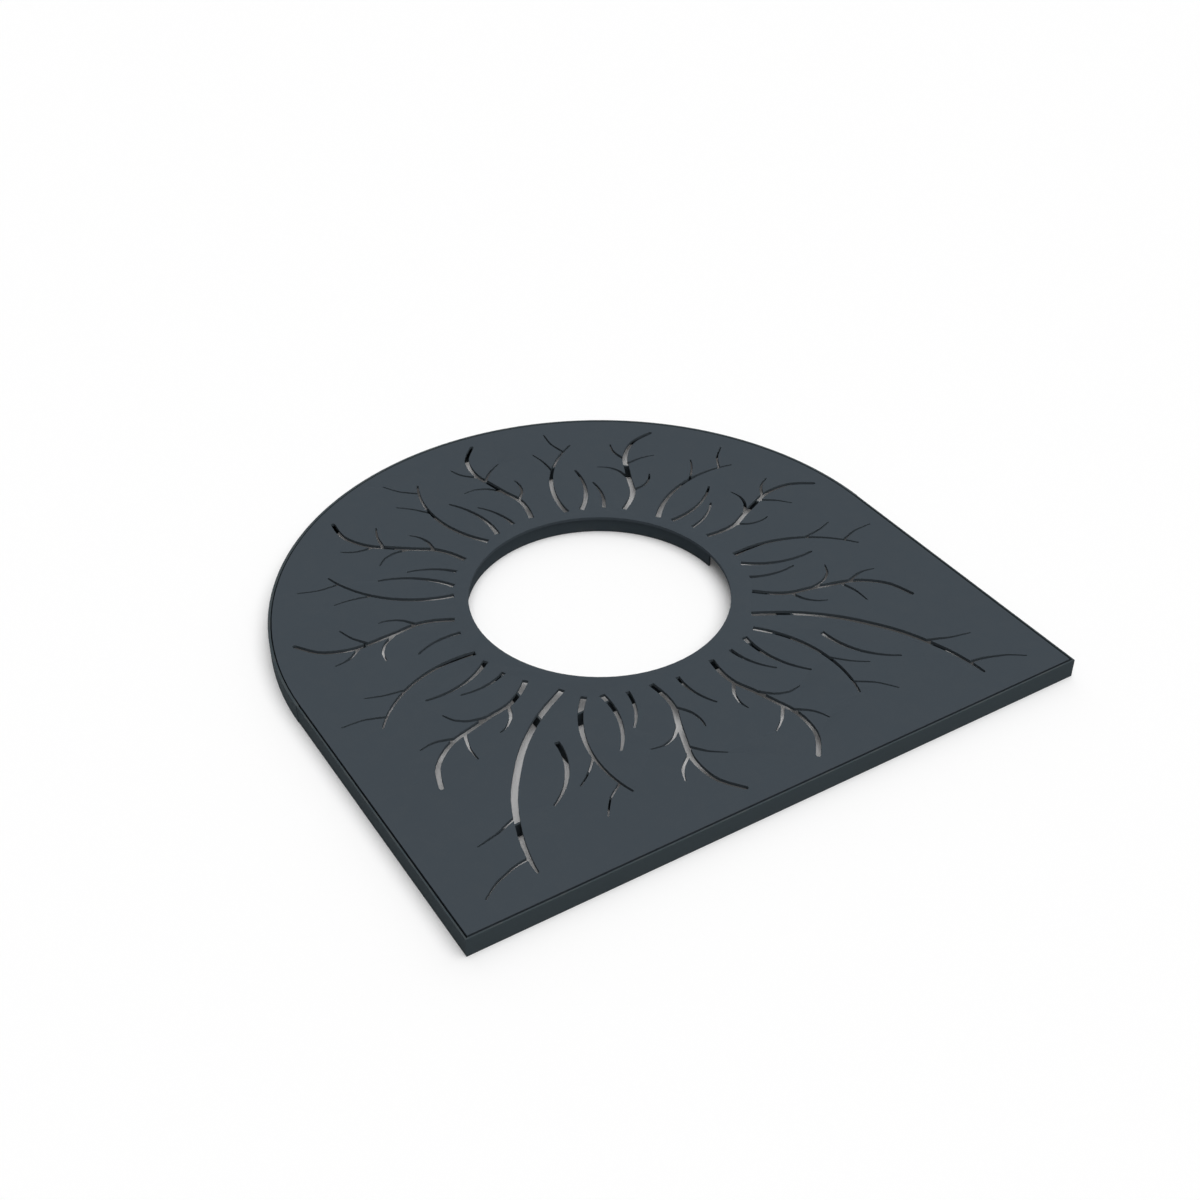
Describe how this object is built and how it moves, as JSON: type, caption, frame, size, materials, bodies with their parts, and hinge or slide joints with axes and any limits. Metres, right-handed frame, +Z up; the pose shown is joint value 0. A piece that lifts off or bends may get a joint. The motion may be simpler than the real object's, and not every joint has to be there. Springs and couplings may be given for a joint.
{
  "type": "tree grate",
  "caption": "Tree grate with a round opening and branching slots, half square and half round, lifting out of a shallow ground frame.",
  "frame": {"origin": "on the ground under the centre of the tree opening, which is the bottom centre of the whole grate", "axes": "+X to the right along the straight front edge, +Y from the square half to the curved half, +Z up through the tree opening"},
  "size_m": [1.5, 1.4998, 0.046],
  "materials": {
    "plate": "satin anthracite powder coat",
    "frame": "satin anthracite powder coat",
    "ribs": "satin anthracite powder coat, duller below the plate"
  },
  "bodies": {
    "ground_frame": {"frame_arc": "frame", "seat_arc": "frame", "frame_left": "frame", "frame_right": "frame", "frame_front": "frame", "seat_front": "frame"},
    "panel": {"plate": "plate", "ring_rib": "ribs", "hoop_rib": "ribs", "edge_rib_arc": "ribs", "cross_rib_centre": "ribs", "side_rib_mid_left": "ribs", "side_rib_mid_right": "ribs", "side_rib_front_left": "ribs", "side_rib_front_right": "ribs", "long_rib_left": "ribs", "long_rib_right": "ribs", "edge_rib_left": "ribs", "edge_rib_right": "ribs", "edge_rib_front": "ribs"}
  },
  "joints": [
    {"name": "panel_lift", "type": "slide", "parent": "ground_frame", "child": "panel", "axis": [0, 0, 1], "range_m": [0, 0.15]}
  ]
}
